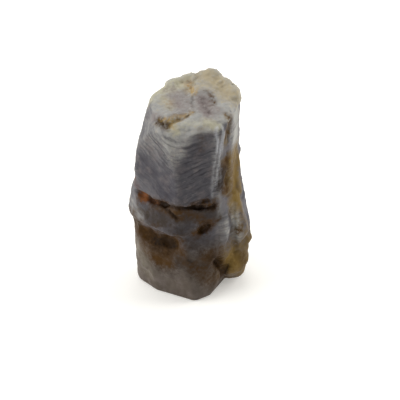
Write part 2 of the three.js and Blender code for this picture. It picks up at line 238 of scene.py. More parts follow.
@dataclass
class Skin:
    """The crystal's surface as arrays, in millimetres round its own long axis.

    Attributes:
        points: The place of each vertex.
        normals: The outward direction of each vertex.
        edges: The two vertices of each edge.
    """

    points: np.ndarray
    normals: np.ndarray
    edges: np.ndarray

    @classmethod
    def of(cls, mesh: bpy.types.Mesh) -> "Skin":
        """Reads a mesh whose vertices are in millimetres from the middle of the foot."""
        count = len(mesh.vertices)
        points, normals = np.empty(count * 3), np.empty(count * 3)
        edges = np.empty(len(mesh.edges) * 2, dtype=np.int64)
        mesh.vertices.foreach_get("co", points)
        mesh.vertices.foreach_get("normal", normals)
        mesh.edges.foreach_get("vertices", edges)
        points = points.reshape(-1, 3) - (AXIS_X, AXIS_Y, 0)
        return cls(points, normals.reshape(-1, 3), edges.reshape(-1, 2))

    def write(self, mesh: bpy.types.Mesh) -> None:
        """Moves the mesh's vertices to the skin's points, and the mesh from millimetres to metres."""
        places = (self.points + (AXIS_X, AXIS_Y, 0)) * MILLIMETRE
        mesh.vertices.foreach_set("co", places.ravel())
        mesh.update()

    @property
    def height(self) -> np.ndarray:
        """The height of each vertex above the foot."""
        return self.points[:, 2]

    @property
    def azimuth(self) -> np.ndarray:
        """The compass direction of each vertex from the axis, in degrees, -180 to 180."""
        return np.degrees(np.arctan2(self.points[:, 1], self.points[:, 0]))

    def turn_from(self, azimuth: float) -> np.ndarray:
        """How far each vertex is turned from an azimuth, in degrees, -180 to 180."""
        return (self.azimuth - azimuth + 180) % 360 - 180

    def sector(self, azimuth: float, outer: float, inner: float) -> np.ndarray:
        """1 within inner degrees of an azimuth, and 0 past outer degrees."""
        return between(np.abs(self.turn_from(azimuth)), outer, inner)

    @property
    def on_top(self) -> np.ndarray:
        """1 on the broken top, and 0 on the sides."""
        faces_up = between(self.normals[:, 2], 0.35, 0.75)
        return faces_up * between(self.height, 16.2, 16.9)

    @property
    def on_foot(self) -> np.ndarray:
        """1 on the flat underside and close above it, and 0 elsewhere."""
        return between(self.height, 0.5, 0.1)

    def smoothed(self, values: np.ndarray, rounds: int) -> np.ndarray:
        """Averages values with those of neighbouring vertices.

        Args:
            values: One row for each vertex.
            rounds: How often this is done.

        Returns:
            The smoothed values.
        """
        first, second = self.edges.T
        count = len(self.points)
        share = np.bincount(self.edges.ravel(), minlength=count) + 1.0
        kept = values.reshape(count, -1).astype(float)
        for _ in range(rounds):
            total = kept.copy()
            for column in range(kept.shape[1]):
                total[:, column] += np.bincount(first, kept[second, column], count)
                total[:, column] += np.bincount(second, kept[first, column], count)
            kept = total / share[:, None]
        return kept.reshape(values.shape)

    def hollowness(self, rounds: int) -> np.ndarray:
        """How far each vertex lies below its surroundings, and less than 0 on an edge or a bump."""
        gap = self.smoothed(self.points, rounds) - self.points
        return np.einsum("ij,ij->i", gap, self.normals)

    def follow(self, trace: Trace) -> np.ndarray:
        """Lays a trace on the surface.

        Args:
            trace: The trace.

        Returns:
            Close places along its line, each a vertex's own.
        """
        steps = 10  # between two of the trace's places
        spots = np.array(trace.places)
        along = np.linspace(0, len(spots) - 1, steps * (len(spots) - 1) + 1)
        line = np.stack([np.interp(along, np.arange(len(spots)), spots[:, k]) for k in (0, 1)], axis=1)
        if trace.surface is Surface.TOP:
            choice = np.flatnonzero(self.on_top > 0.2)
            flat = self.points[choice, :2]
            found = [choice[np.argmin(np.sum((flat - spot) ** 2, axis=1))] for spot in line]
        else:
            degree = math.radians(MEAN_RADIUS)  # its width on the crystal's side
            found = [
                np.argmin((self.turn_from(turn) * degree) ** 2 + (self.height - height) ** 2)
                for turn, height in line
            ]
        return self.points[np.array(found)]

    def spread(self, trace: Trace, ragged: np.ndarray) -> np.ndarray:
        """How strongly each vertex belongs to a trace.

        Args:
            trace: The trace.
            ragged: Noise that makes its border uneven, about -1 to 1.

        Returns:
            1 on its line and 0 past its reach.
        """
        raggedness = 0.45
        margin = trace.reach * 1.5
        line = self.follow(trace)
        low, high = line.min(axis=0) - margin, line.max(axis=0) + margin
        close = np.flatnonzero(np.all((self.points > low) & (self.points < high), axis=1))
        share = np.zeros(len(self.points))
        gap = np.linalg.norm(self.points[close, None] - line[None], axis=2).min(axis=1)
        share[close] = fading(gap * (1 + raggedness * ragged[close]), trace.reach)
        return share


@dataclass(frozen=True)
class Scatter:
    """One draw of places, each at random in its own cell of an even grid in space.

    Attributes:
        spacing: The width of a cell.
        seed: The number of the draw.
        spread: How many cells there are in each direction before the draw repeats.
    """

    spacing: float
    seed: int
    spread: int = 64

    def drawn(self, columns: int) -> np.ndarray:
        """Draws some numbers from 0 to 1 for each cell, one row each."""
        return np.random.default_rng(self.seed).random((self.spread**3, columns))

    def around(self, points: np.ndarray, numbers: np.ndarray) -> Iterator[tuple[np.ndarray, np.ndarray]]:
        """Goes through the cells next to each point.

        Args:
            points: Places, one row each.
            numbers: What drawn returned. Its first three columns are a place in the cell.

        Yields:
            For each point the row of a cell near it, and the way from that cell's place to the point.
        """
        home = np.floor(points / self.spacing).astype(np.int64)
        weights = (self.spread**2, self.spread, 1)
        for step in itertools.product((-1, 0, 1), repeat=3):
            cell = home + step
            row = ((cell % self.spread) * weights).sum(axis=1)
            yield row, points - (cell + numbers[row, :3]) * self.spacing


@dataclass(frozen=True)
class GrowthLines:
    """The fine lines in which the crystal grew. On both front faces they rise away from the front edge.

    Attributes:
        rise_left: How steeply they rise on the left, in millimetres per millimetre.
        rise_right_low: The same on the right, just above the parting.
        rise_right_high: The same on the right, under the top's rim.
        reach_left: How far they rise to the left of the front edge before they run level.
        reach_right: The same to the right.
        bend: How far from the front edge they still curve.
        wobble: How far they stray up and down.
        drawn_out: How many times longer a line is than it is wide.
        spacings: The width of coarse, middle and fine lines.
        depths: How much each of them stands out.
    """

    rise_left: float = 0.72
    rise_right_low: float = 0.75
    rise_right_high: float = 0.1
    reach_left: float = 4.2
    reach_right: float = 3.3
    bend: float = 0.5
    wobble: float = 0.16
    drawn_out: float = 4.5
    spacings: tuple[float, ...] = (0.85, 0.42, 0.24)
    depths: tuple[float, ...] = (0.03, 0.036, 0.028)

    def along(self, skin: Skin) -> np.ndarray:
        """How far each vertex lies round the crystal from the front edge, less than 0 to the left."""
        return np.radians(skin.turn_from(FRONT_EDGE)) * MEAN_RADIUS

    def across(self, skin: Skin) -> np.ndarray:
        """The height at which each vertex's growth line leaves the front edge."""
        along = self.along(skin)
        rises_right = (self.rise_right_low, self.rise_right_high)
        rise_right = np.interp(skin.height, (PARTING, TOP_RIM), rises_right)
        climb_left = self.rise_left * self._bent(np.clip(-along, 0, self.reach_left))
        climb_right = rise_right * self._bent(np.clip(along, 0, self.reach_right))
        wobble = self.wobble * GradientNoise(Draw.GROWTH_WOBBLE).layered(skin.points / 1.1, 2)
        return skin.height - climb_left - climb_right + wobble

    def _bent(self, away: np.ndarray) -> np.ndarray:
        """Rounds off the corner that the lines make at the front edge."""
        return np.hypot(away, self.bend) - self.bend

    def strength(self, skin: Skin) -> np.ndarray:
        """How clearly the lines show: 1 on the upper prism's right front face, and least on the foot."""
        along = self.along(skin)
        upper = between(skin.height, PARTING - 0.4, PARTING + 0.6)
        collar = between(skin.height, FOOT_SWELLING + 0.4, COLLAR_EDGE)
        front = skin.sector(FRONT_EDGE - 14, 70, 56)
        beside_edge = between(np.abs(along), 0.1, 0.9)
        left = between(along, 0.0, -1.2)
        shown = (0.1 + 0.3 * collar + 0.6 * upper) * (0.45 + 0.55 * front)
        return shown * (0.4 + 0.6 * beside_edge) * (1 - 0.5 * left) * (1 - skin.on_top)

    def relief(self, skin: Skin) -> np.ndarray:
        """The height of the lines over the face."""
        across, along = self.across(skin), self.along(skin)
        total = np.zeros(len(across))
        for i, (spacing, depth) in enumerate(zip(self.spacings, self.depths)):
            drawn = np.stack([across / spacing, along / (spacing * self.drawn_out), 0 * across], axis=1)
            total += depth * GradientNoise(Draw.GROWTH_LINES + i).at(drawn + 40 * i)
        return total * self.strength(skin)


@dataclass(frozen=True)
class RightCorner:
    """The right corner, split into upright hairlines.

    Attributes:
        azimuth: Where it is.
        half_width: How far the hairlines reach to each side, in degrees.
        spacing: From one hairline to the next.
        length: How long each of them is, about.
        wobble: How far they stray to the side.
        depth: How much they stand out.
    """

    azimuth: float = -53.0
    half_width: float = 11.0
    spacing: float = 0.3
    length: float = 2.4
    wobble: float = 0.3
    depth: float = 0.05

    def strip(self, skin: Skin) -> np.ndarray:
        """1 in the middle of the hairlines' strip, and 0 outside it."""
        beside = skin.sector(self.azimuth, self.half_width, self.half_width / 3)
        return beside * between(skin.height, PARTING - 1.5, PARTING + 0.8) * (1 - skin.on_top)

    def relief(self, skin: Skin) -> np.ndarray:
        """The height of the hairlines over the corner."""
        along = np.radians(skin.turn_from(self.azimuth)) * MEAN_RADIUS
        wobble = GradientNoise(Draw.CORNER_WOBBLE).at(skin.points / (1.4, 1.4, 1.1)) * self.wobble
        drawn = np.stack([(along + wobble) / self.spacing, skin.height / self.length, along * 0], axis=1)
        return self.depth * GradientNoise(Draw.CORNER_HAIRLINES).layered(drawn, 2) * self.strip(skin)


@dataclass(frozen=True)
class BrokenSurface:
    """A rough break made of small facets with worn borders, each tilted its own way.

    Attributes:
        facet: The usual width of a facet.
        tilt: How steeply the facets are tilted.
        wear: How often their borders are smoothed.
        seed: The number of the draw.
    """

    facet: float
    tilt: float
    wear: int
    seed: int

    def relief(self, skin: Skin) -> np.ndarray:
        """The height of the facets over the smooth surface."""
        stray = 0.35 * self.facet  # how far the facets' borders stray from straight lines
        bend = [GradientNoise(self.seed + k).at(skin.points / self.facet) for k in range(3)]
        warped = skin.points + stray * np.stack(bend, axis=1)
        scatter = Scatter(self.facet, self.seed)
        numbers = scatter.drawn(6)
        nearest, height = np.full(len(warped), np.inf), np.zeros(len(warped))
        for row, offset in scatter.around(warped, numbers):
            gap = np.einsum("ij,ij->i", offset, offset)
            closer = gap < nearest
            nearest[closer] = gap[closer]
            slope = 4 * numbers[row[closer], 3:] - 2
            height[closer] = np.einsum("ij,ij->i", offset[closer], slope)
        return skin.smoothed(height * self.tilt, self.wear)


@dataclass(frozen=True)
class Pits:
    """Small round pits scattered over the sides.

    Attributes:
        spacing: From one possible pit to the next.
        widest: The radius of the widest pit.
        depth: The depth of the widest pit.
        share: How many of the possible pits are there.
    """

    spacing: float = 0.9
    widest: float = 0.3
    depth: float = 0.08
    share: float = 0.3

    def relief(self, skin: Skin) -> np.ndarray:
        """The depth of the pits, 0 and below."""
        least = 1e-6  # the size of a pit that isn't there
        scatter = Scatter(self.spacing, Draw.PITS)
        numbers = scatter.drawn(4)
        height = np.zeros(len(skin.points))
        for row, offset in scatter.around(skin.points, numbers):
            chance = numbers[row, 3]
            size = np.where(chance < self.share, chance / self.share, 0) * self.widest + least
            bowl = fading(np.linalg.norm(offset, axis=1), size)
            height = np.minimum(height, -self.depth * bowl * size / self.widest)
        return height


def crack(places: Places, reach: float, depth: float) -> Trace:
    """An open crack through some places on the sides, with painted shade inside it."""
    return Trace(Stain.DARK, places, reach, depth=depth)


def hairline(places: Places, strength: float = 1.0) -> Trace:
    """A fine line that stands a little proud of the sides, with a painted white glint along it."""
    return Trace(Stain.WHITE, places, 0.2, strength, depth=-0.05)


def on_break(
    stain: Stain, places: Places, reach: float, strength: float = 1.0, depth: float = 0.0
) -> Trace:
    """A trace through some places on the broken top."""
    return Trace(stain, places, reach, strength, Surface.TOP, depth)


@dataclass(frozen=True)
class Weathering:
    """Where the crystal is cracked, stained and knocked pale, and where shade and light are painted. The
    places were read off the photograph.
    """

    parting: tuple[Trace, ...] = (
        # The crack traces and the one under them paint shade inside the open crack and under the upper
        # prism's overhang; the brown and rust ones are iron stain.
        crack(((-147, 9.8), (-132, 9.8), (-117, 10.0)), 0.34, 0.3),
        crack(((-117, 10.1), (-102, 10.2), (-86, 10.0), (-74, 9.8)), 0.2, 0.22),
        crack(((-74, 9.9), (-66, 9.8), (-57, 9.9)), 0.22, 0.22),
        Trace(Stain.DARK, ((-86, 10.5), (-78, 10.7), (-64, 10.6)), 0.24, 0.3, depth=0.12),
        crack(((-126, 9.75), (-114, 9.6), (-104, 9.2)), 0.24, 0.14),
        Trace(Stain.RUST, ((-160, 9.9), (-156, 9.8), (-150, 9.7)), 0.45, 0.8, depth=0.1),
        Trace(Stain.RUST, ((-148, 9.9), (-134, 9.9)), 0.35, 0.3),
        Trace(Stain.RUST, ((-170, 11.8), (-163, 10.7)), 0.5, 0.25),
        Trace(Stain.BROWN, ((-158, 9.8), (-140, 9.8), (-120, 9.8), (-98, 9.9)), 0.8, 0.85),
        Trace(Stain.BROWN, ((-126, 9.6), (-108, 9.4), (-98, 9.0)), 0.4, 0.8),
        Trace(Stain.BROWN, ((-90, 10.0), (-74, 10.2), (-58, 10.2)), 0.9, 0.65),
    )
    collar: tuple[Trace, ...] = (
        Trace(Stain.UMBER_AND_SHADE, ((-124, 9.3), (-108, 9.2), (-94, 9.1), (-78, 9.1), (-60, 9.1)), 1.3, 0.9),
        Trace(Stain.UMBER_AND_SHADE, ((-116, 8.0), (-100, 7.8), (-84, 7.8)), 1.3, 0.65),
        Trace(Stain.UMBER_AND_SHADE, ((-142, 8.4), (-130, 8.5), (-118, 8.6)), 1.5, 0.9),
        Trace(Stain.BROWN, ((-88, 9.7), (-81, 9.2), (-76, 8.8)), 0.9, 0.6),
        Trace(Stain.BROWN, ((-78, 7.4), (-70, 7.7), (-63, 8.3)), 0.75, 0.9, depth=0.1),
        Trace(Stain.DARK, ((-74, 7.6), (-66, 8.0)), 0.5, 0.7, depth=0.06),
        Trace(Stain.PALE_AND_LIT, ((-170, 8.5), (-160, 8.0), (-154, 8.0)), 0.9, 0.4),
        Trace(Stain.PALE_AND_LIT, ((-178, 7.7), (-168, 7.6)), 1.0, 0.2, depth=-0.25),
    )
    foot: tuple[Trace, ...] = (
        Trace(Stain.BROWN, ((-172, 6.6), (-160, 6.1), (-146, 5.7), (-130, 5.5), (-113, 5.7)), 2.0),
        Trace(Stain.BROWN, ((-150, 4.8), (-134, 4.7), (-120, 4.9)), 1.5, 0.75),
        # These three paint the shade in the deep recess under the collar, over its brown stain.
        Trace(Stain.DARK, ((-146, 5.9), (-134, 5.6), (-121, 5.5)), 1.4, 0.55, depth=0.06),
        Trace(Stain.DARK, ((-139, 5.7), (-131, 5.4), (-126, 5.6), (-116, 5.7)), 0.8, 0.9),
        Trace(Stain.DARK, ((-170, 6.8), (-162, 6.4)), 1.0, 0.4),
        Trace(Stain.BROWN, ((-139, 4.0), (-132, 3.8), (-125, 3.7)), 1.2, 0.95),
        Trace(Stain.UMBER_AND_SHADE, ((-142, 3.2), (-130, 3.1), (-118, 3.2)), 1.6, 0.5),
        Trace(Stain.UMBER_AND_SHADE, ((-103, 6.4), (-90, 6.3), (-74, 5.8)), 2.0, 0.6),
        Trace(Stain.UMBER_AND_SHADE, ((-112, 4.4), (-96, 4.3), (-80, 4.0), (-66, 3.6)), 2.3, 0.9),
        Trace(Stain.BROWN, ((-86, 3.9), (-78, 3.6), (-70, 3.5)), 0.9, 0.5),
        Trace(Stain.BROWN, ((-74, 3.0), (-66, 2.5), (-58, 1.8)), 1.0, 0.7),
        Trace(Stain.CREAM, ((-166, 4.4), (-160, 3.2), (-156, 2.0)), 1.4, 0.12),
        # These two paint the shade in the gap between the foot and the knob, over brown stain.
        Trace(Stain.BROWN, ((-61, 4.7), (-56, 4.4), (-50, 3.6), (-41, 2.9), (-34, 1.6)), 1.2),
        Trace(Stain.DARK, ((-58, 4.6), (-50, 3.6), (-43, 2.7)), 0.65, 0.85),
    )
    right: tuple[Trace, ...] = (
        Trace(Stain.BROWN, ((-76, 17.6), (-73, 16.7), (-74, 15.8)), 0.5, 0.25),
        # The slot at the top right: olive and brown stain, with painted shade inside.
        Trace(Stain.OLIVE, ((-30, 17.8), (-34, 17.3), (-38, 16.6), (-39, 15.9)), 0.6, 0.6),
        Trace(Stain.BROWN, ((-28, 17.7), (-34, 17.2), (-38, 16.4)), 0.4, 0.95),
        Trace(Stain.DARK, ((-33, 17.4), (-37, 16.8)), 0.25, 0.6, depth=0.1),
        Trace(Stain.OLIVE, ((-14, 13.6), (-13, 12.3), (-17, 11.2), (-18, 10.0), (-19, 9.0)), 1.6),
        Trace(Stain.OLIVE, ((-33, 13.8), (-34, 12.2), (-32, 11.0)), 1.1),
        Trace(Stain.BROWN, ((-22, 13.0), (-26, 11.6), (-27, 10.4)), 0.9, 0.3),
        # These three paint the shade along the olive ridge's left border, over brown stain.
        Trace(Stain.UMBER_AND_SHADE, ((-42, 13.4), (-43, 12.4), (-45, 11.4)), 0.8, 0.8),
        Trace(Stain.DARK, ((-43, 13.0), (-45, 12.4), (-49, 11.9)), 0.65, 0.9),
        Trace(Stain.BROWN, ((-38, 14.2), (-40, 13.2), (-40, 12.0), (-38, 10.9)), 0.7, 0.85),
        Trace(Stain.OLIVE, ((-12, 8.8), (-15, 7.7), (-16, 6.7), (-4, 5.0)), 1.3, 0.45),
        Trace(Stain.BROWN, ((-20, 6.8), (-22, 6.1)), 0.7, 0.6),
        Trace(Stain.OLIVE, ((-30, 3.4), (-24, 2.9), (-16, 2.4), (-8, 1.8)), 2.3),
        Trace(Stain.OCHRE, ((-29, 3.2), (-26, 2.7)), 0.9, 0.25),
        Trace(Stain.OLIVE, ((-14, 3.9), (-6, 3.9), (2, 4.0)), 0.8, 0.8, depth=-0.3),
        Trace(Stain.OLIVE, ((0, 2.9), (4, 2.4), (4, 1.6)), 1.1, 0.6, depth=0.22),
        # These two paint the shade on the knob's shaded side.
        Trace(Stain.BROWN, ((-18, 3.2), (-17, 2.5), (-17, 1.8)), 0.75, 0.65),
        Trace(Stain.DARK, ((-17, 2.8), (-17, 2.2)), 0.5, 0.2),
        # Painted light on the ridges and the right strip, and painted shade in the valley between the
        # ridges.
        Trace(Stain.PALE_AND_LIT, ((-50, 9.8), (-51, 8.6), (-50, 6.8)), 0.6, 0.2),
        Trace(Stain.PALE_AND_LIT, ((-42, 8.3), (-43, 7.6), (-42, 6.8)), 0.5, 0.45),
        Trace(Stain.UMBER_AND_SHADE, ((-33, 8.6), (-34, 7.7), (-29, 6.4)), 0.5, 0.6),
        Trace(Stain.PALE_AND_LIT, ((-24, 9.0), (-24, 7.8), (-23, 6.4), (-22, 5.6)), 0.7, 0.9),
        Trace(Stain.PALE_AND_LIT, ((-8, 18.2), (-10, 16.8), (-12, 15.4)), 1.6, 0.9),
    )
    hairlines: tuple[Trace, ...] = (
        # The hairlines' white is a painted glint over their slight relief.
        hairline(((-53, 17.7), (-57, 17.3), (-54, 16.4), (-56, 15.5)), 0.8),
        hairline(((-47, 17.6), (-46, 16.9), (-49, 16.3), (-52, 15.1)), 0.8),
        hairline(((-44, 17.1), (-46, 16.4), (-47, 15.3)), 0.5),
        hairline(((-56, 15.5), (-59, 13.7), (-61, 12.1), (-61, 11.0)), 0.35),
        hairline(((-52, 15.1), (-55, 13.6), (-56, 12.2)), 0.35),
        # Painted shade between the hairlines.
        Trace(Stain.UMBER_AND_SHADE, ((-50, 17.0), (-52, 16.2), (-55, 14.8), (-58, 13.2)), 0.16, 0.5, depth=0.03),
    )
    top: tuple[Trace, ...] = (
        # This one paints the shade inside the crack at the top's front left; the brown ones beside it are
        # stain.
        on_break(Stain.DARK, ((-2.3, -2.4), (-2.1, -2.7), (-1.75, -2.95)), 0.38, 0.85),
        on_break(Stain.BROWN, ((-2.4, -2.3), (-2.1, -2.7), (-1.7, -3.0)), 0.55, 1.0, -0.1),
        on_break(Stain.BROWN, ((-2.25, -2.7), (-1.9, -3.0)), 0.5, 0.8),
        on_break(Stain.MAUVE, ((-3.0, -1.7), (-2.6, -2.1)), 0.6, 0.7),
        on_break(Stain.OCHRE, ((-2.3, -2.3), (-1.9, -2.6), (-1.5, -2.7), (-1.1, -2.6)), 0.32, 0.5),
        on_break(Stain.OCHRE, ((-1.1, -2.6), (-0.5, -2.3), (0.0, -2.1), (0.4, -2.0)), 0.32, 0.6),
        on_break(Stain.BROWN, ((-1.6, -2.6), (-0.6, -2.2), (0.4, -1.9)), 0.35, 0.6),
        on_break(Stain.CREAM, ((-1.5, -2.9), (-1.2, -3.3), (-1.0, -3.6)), 0.5, 0.9),
        on_break(Stain.OCHRE, ((-1.5, -2.9), (-1.2, -3.3)), 0.35, 0.5),
        on_break(Stain.BROWN, ((0.4, -2.0), (0.6, -1.9)), 0.25, 0.9),
        # Painted shade in the thin crack of the step on the top.
        on_break(Stain.DARK, ((0.3, 0.2), (0.3, -0.6)), 0.14, 0.5, 0.05),
        on_break(Stain.OCHRE, ((0.1, 1.9), (0.4, 1.3), (0.5, 0.6)), 0.35, 0.7),
        on_break(Stain.PEACH, ((0.0, 2.2), (0.4, 1.3)), 0.9, 0.8),
        on_break(Stain.RUST, ((0.0, 2.1), (0.2, 1.7)), 0.5, 0.35),
        on_break(Stain.PEACH, ((1.5, 2.8), (2.2, 2.4), (2.9, 1.9), (3.6, 0.9)), 1.7),
        # Painted shade beside the step on the top, in mauve.
        on_break(Stain.MAUVE, ((1.3, -0.1), (1.5, -0.9), (1.8, -1.7)), 1.15, 0.95),
        on_break(Stain.MAUVE, ((-1.1, 0.5), (-0.6, -1.0)), 1.5, 0.75),
        on_break(Stain.BROWN, ((1.6, 0.8), (2.0, 0.3), (2.2, -0.6)), 0.4, 0.5),
        # Painted shade along the foot of the step on the top.
        on_break(Stain.UMBER_AND_SHADE, ((1.2, 0.1), (1.4, -0.8), (1.7, -1.6)), 0.35, 0.3),
        on_break(Stain.CREAM, ((-3.5, 0.6), (-3.0, 1.3), (-2.2, 2.0)), 0.8, 0.9, 0.1),
        on_break(Stain.CREAM, ((-1.4, 2.6), (-0.6, 3.0), (0.1, 3.3)), 0.8, 0.9, -0.35),
        on_break(Stain.CREAM, ((-2.2, 1.6), (-1.4, 1.8), (-0.8, 2.2), (0.0, 2.3)), 1.2, 0.95),
        on_break(Stain.CREAM, ((0.6, 3.4), (1.6, 3.7), (2.6, 3.2), (3.6, 2.1), (4.2, 1.0)), 0.9, 0.5, -0.28),
        on_break(Stain.PEACH, ((3.4, 2.2), (4.0, 1.5)), 0.9, 0.5, -0.2),
        on_break(Stain.CREAM, ((-2.2, 0.5), (-1.8, -0.1), (-1.4, -0.8)), 0.8, 0.8),
        on_break(Stain.OCHRE, ((-2.0, 0.1), (-1.7, -0.4)), 0.5, 0.2),
        on_break(Stain.CREAM, ((-0.9, -3.2), (0.1, -3.1), (1.0, -3.2)), 0.5, 0.45),
        on_break(Stain.CREAM, ((1.6, -2.9), (2.0, -3.1), (2.5, -3.2)), 0.65, 0.85),
    )

    @property
    def traces(self) -> tuple[Trace, ...]:
        """All the traces."""
        return self.parting + self.collar + self.foot + self.right + self.hairlines + self.top


@dataclass(frozen=True)
class SapphireFinish:
    """Cloudy blue-grey sapphire, satin, with bruises, iron stains, and painted light and shade.

    Attributes:
        body: The usual colour of the stone.
        deep: Its darker, bluer clouds, and the painted shade on the faces that get less light.
        line: The darkest growth lines: their own banding, and painted shade in their grooves.
        white: The painted glints along the hairlines on the right corner.
        bruised_and_lit: Where it is knocked white, on edges and on the broken top, and painted light on the
            top, the lit faces, the shoulders and the ridges.
        cream: The thin crust along the top's rim and on its front ledge.
        peach: The warm half of the top.
        mauve: The violet-brown patches, and the painted shade beside the step on the top.
        umber_and_shade: The thin brown film over the ledge and the lower front, and painted shade in
            hollows, valleys and gaps.
        brown: Iron stain in hollows, and painted shade in a few gaps and on the knob's shaded side.
        recess_shade: Painted shade inside cracks, gaps and shaded recesses, in a blackish brown.
        rust: Fresh rust.
        olive: The stain on the right side.
        ochre: The crumbs in the top's crack.
        earthy_and_shaded: The whole lower part, lightly stained, and darkened as painted shade where less
            light bounces up.
        roughness: How dull the stone is.
        ior: The stone's index of refraction.
        gloss: How much its weathered skin still reflects, where 0.5 is a fresh face.
        cloudiness: How much light spreads under its surface.
        cloud_depth: How deep that light goes.
        cloud_spread: How far its red, green and blue go, as shares of that.
    """

    body: Colour = srgb(102, 100, 103)
    deep: Colour = srgb(68, 66, 72)
    line: Colour = srgb(42, 40, 46)
    white: Colour = srgb(182, 184, 190)
    bruised_and_lit: Colour = srgb(162, 161, 156)
    cream: Colour = srgb(176, 171, 148)
    peach: Colour = srgb(167, 155, 129)
    mauve: Colour = srgb(126, 116, 113)
    umber_and_shade: Colour = srgb(56, 48, 43)
    brown: Colour = srgb(67, 43, 9)
    recess_shade: Colour = srgb(29, 16, 1)
    rust: Colour = srgb(124, 76, 42)
    olive: Colour = srgb(112, 90, 44)
    ochre: Colour = srgb(166, 138, 84)
    earthy_and_shaded: Colour = srgb(93, 82, 70)
    roughness: float = 0.5
    ior: float = 1.76
    gloss: float = 0.04
    cloudiness: float = 0.12
    cloud_depth: float = 0.4
    cloud_spread: Colour = (1.0, 0.95, 1.0)

    def material(self) -> bpy.types.Material:
        """Makes the material.

        Returns:
            A material that reads the crystal's own attributes.
        """
        material = bpy.data.materials.new("rough_sapphire")
        nodes = Nodes.of(material)
        where = nodes.millimetres()
        clouds = nodes.noise(where, 0.35, 4, 0.6)
        mottle = nodes.noise(where, 1.1, 4, 0.62)
        grain = nodes.noise(where, 3.2, 5, 0.7)
        patchy = nodes.remapped(nodes.noise(where, 0.9, 3, 0.55), 0.6, 1.25)
        lines = nodes.growth_noise()
        # Pale bruising, and painted light on the top, the lit faces and the ridges.
        pale = nodes.weigh(nodes.weigh(nodes.attribute(Stain.PALE_AND_LIT), lines, 0.28), grain, 0.26)
        freckles = nodes.math("MULTIPLY", pale, nodes.stretch(grain, 0.54, 0.68))
        clear = nodes.attribute(Form.GROWTH_STRENGTH)
        # Paler on the lines' ridges and darker in their grooves, as the bump runs: the lines' own banding,
        # with a painted highlight and painted shade.
        line_ridges_and_highlight = nodes.math("MULTIPLY", clear, nodes.stretch(lines, 0.55, 0.8))
        line_grooves_and_shade = nodes.math("MULTIPLY", clear, nodes.stretch(lines, 0.48, 0.36))
        layers = [
            # Painted shade on the faces that get less light.
            (nodes.scaled(nodes.attribute(Form.SHADED_FACE), 0.6), self.deep),
            # Darker and browner towards the foot: light stain, and painted shade.
            (nodes.scaled(nodes.attribute(Form.LOW_STAIN_AND_SHADE), 0.75), self.earthy_and_shaded),
            (pale, self.bruised_and_lit),
            (nodes.scaled(nodes.stretch(mottle, 0.48, 0.68), 0.3), self.mauve),
            (nodes.scaled(freckles, 0.25), self.ochre),
            (nodes.scaled(line_ridges_and_highlight, 0.14), self.bruised_and_lit),
            (nodes.scaled(line_grooves_and_shade, 0.6), self.line),
        ]
        for stain, shade in (
            (Stain.CREAM, self.cream),
            (Stain.PEACH, self.peach),
            (Stain.MAUVE, self.mauve),
            (Stain.OLIVE, self.olive),
            # A thin brown film, and painted shade in hollows, valleys and gaps.
            (Stain.UMBER_AND_SHADE, self.umber_and_shade),
            # Iron stain, and painted shade in a few gaps and on the knob's shaded side.
            (Stain.BROWN, self.brown),
            # Painted shade inside cracks, gaps and recesses.
            (Stain.DARK, self.recess_shade),
            (Stain.RUST, self.rust),
            (Stain.OCHRE, self.ochre),
        ):
            covering = nodes.weigh(nodes.attribute(stain), grain, 0.45)
            layers.append((nodes.math("MULTIPLY", covering, patchy), shade))
        # The hairlines' white is a painted glint.
        hairlines = nodes.weigh(nodes.attribute(Stain.WHITE), grain, 0.4)
        # Paler convex edges: wear, and a painted edge highlight.
        layers.append((nodes.scaled(nodes.attribute(Form.WORN_AND_LIT_EDGES), 0.4), self.bruised_and_lit))
        layers.append((nodes.scaled(hairlines, 0.6), self.white))
        colour = nodes.mix(nodes.stretch(clouds, 0.36, 0.66), self.deep, self.body)
        for share, shade in layers:
            colour = nodes.mix(share, colour, shade)
        shader = nodes.shader
        nodes.join(colour, shader.inputs["Base Color"])
        dullness = nodes.remapped(grain, self.roughness - 0.12, self.roughness + 0.14)
        nodes.join(dullness, shader.inputs["Roughness"])
        fine = nodes.bump(nodes.noise(where, 7.0, 4, 0.65), 0.5, 0.04)
        nodes.join(nodes.bump(lines, 0.6, 0.05, fine), shader.inputs["Normal"])
        shader.inputs["IOR"].default_value = self.ior
        shader.inputs["Specular IOR Level"].default_value = self.gloss
        shader.inputs["Subsurface Weight"].default_value = self.cloudiness
        shader.inputs["Subsurface Radius"].default_value = self.cloud_spread
        shader.inputs["Subsurface Scale"].default_value = self.cloud_depth * MILLIMETRE
        return material


@dataclass(frozen=True)
class FloorFinish:
    """A pale, evenly lit table top.

    Attributes:
        colour: Its colour.
        glow: How much light comes up through it.
        glow_colour: The colour of that light.
        roughness: How matt it is.
    """

    colour: Colour = (0.86, 0.85, 0.815)
    glow: float = 0.31
    glow_colour: Colour = (1, 0.985, 0.94)
    roughness: float = 0.9

    def material(self) -> bpy.types.Material:
        """Makes the material."""
        material = bpy.data.materials.new("pale_table")
        shader = Nodes.of(material).shader
        shader.inputs["Base Color"].default_value = (*self.colour, 1)
        shader.inputs["Roughness"].default_value = self.roughness
        shader.inputs["Emission Color"].default_value = (*self.glow_colour, 1)
        shader.inputs["Emission Strength"].default_value = self.glow
        return material


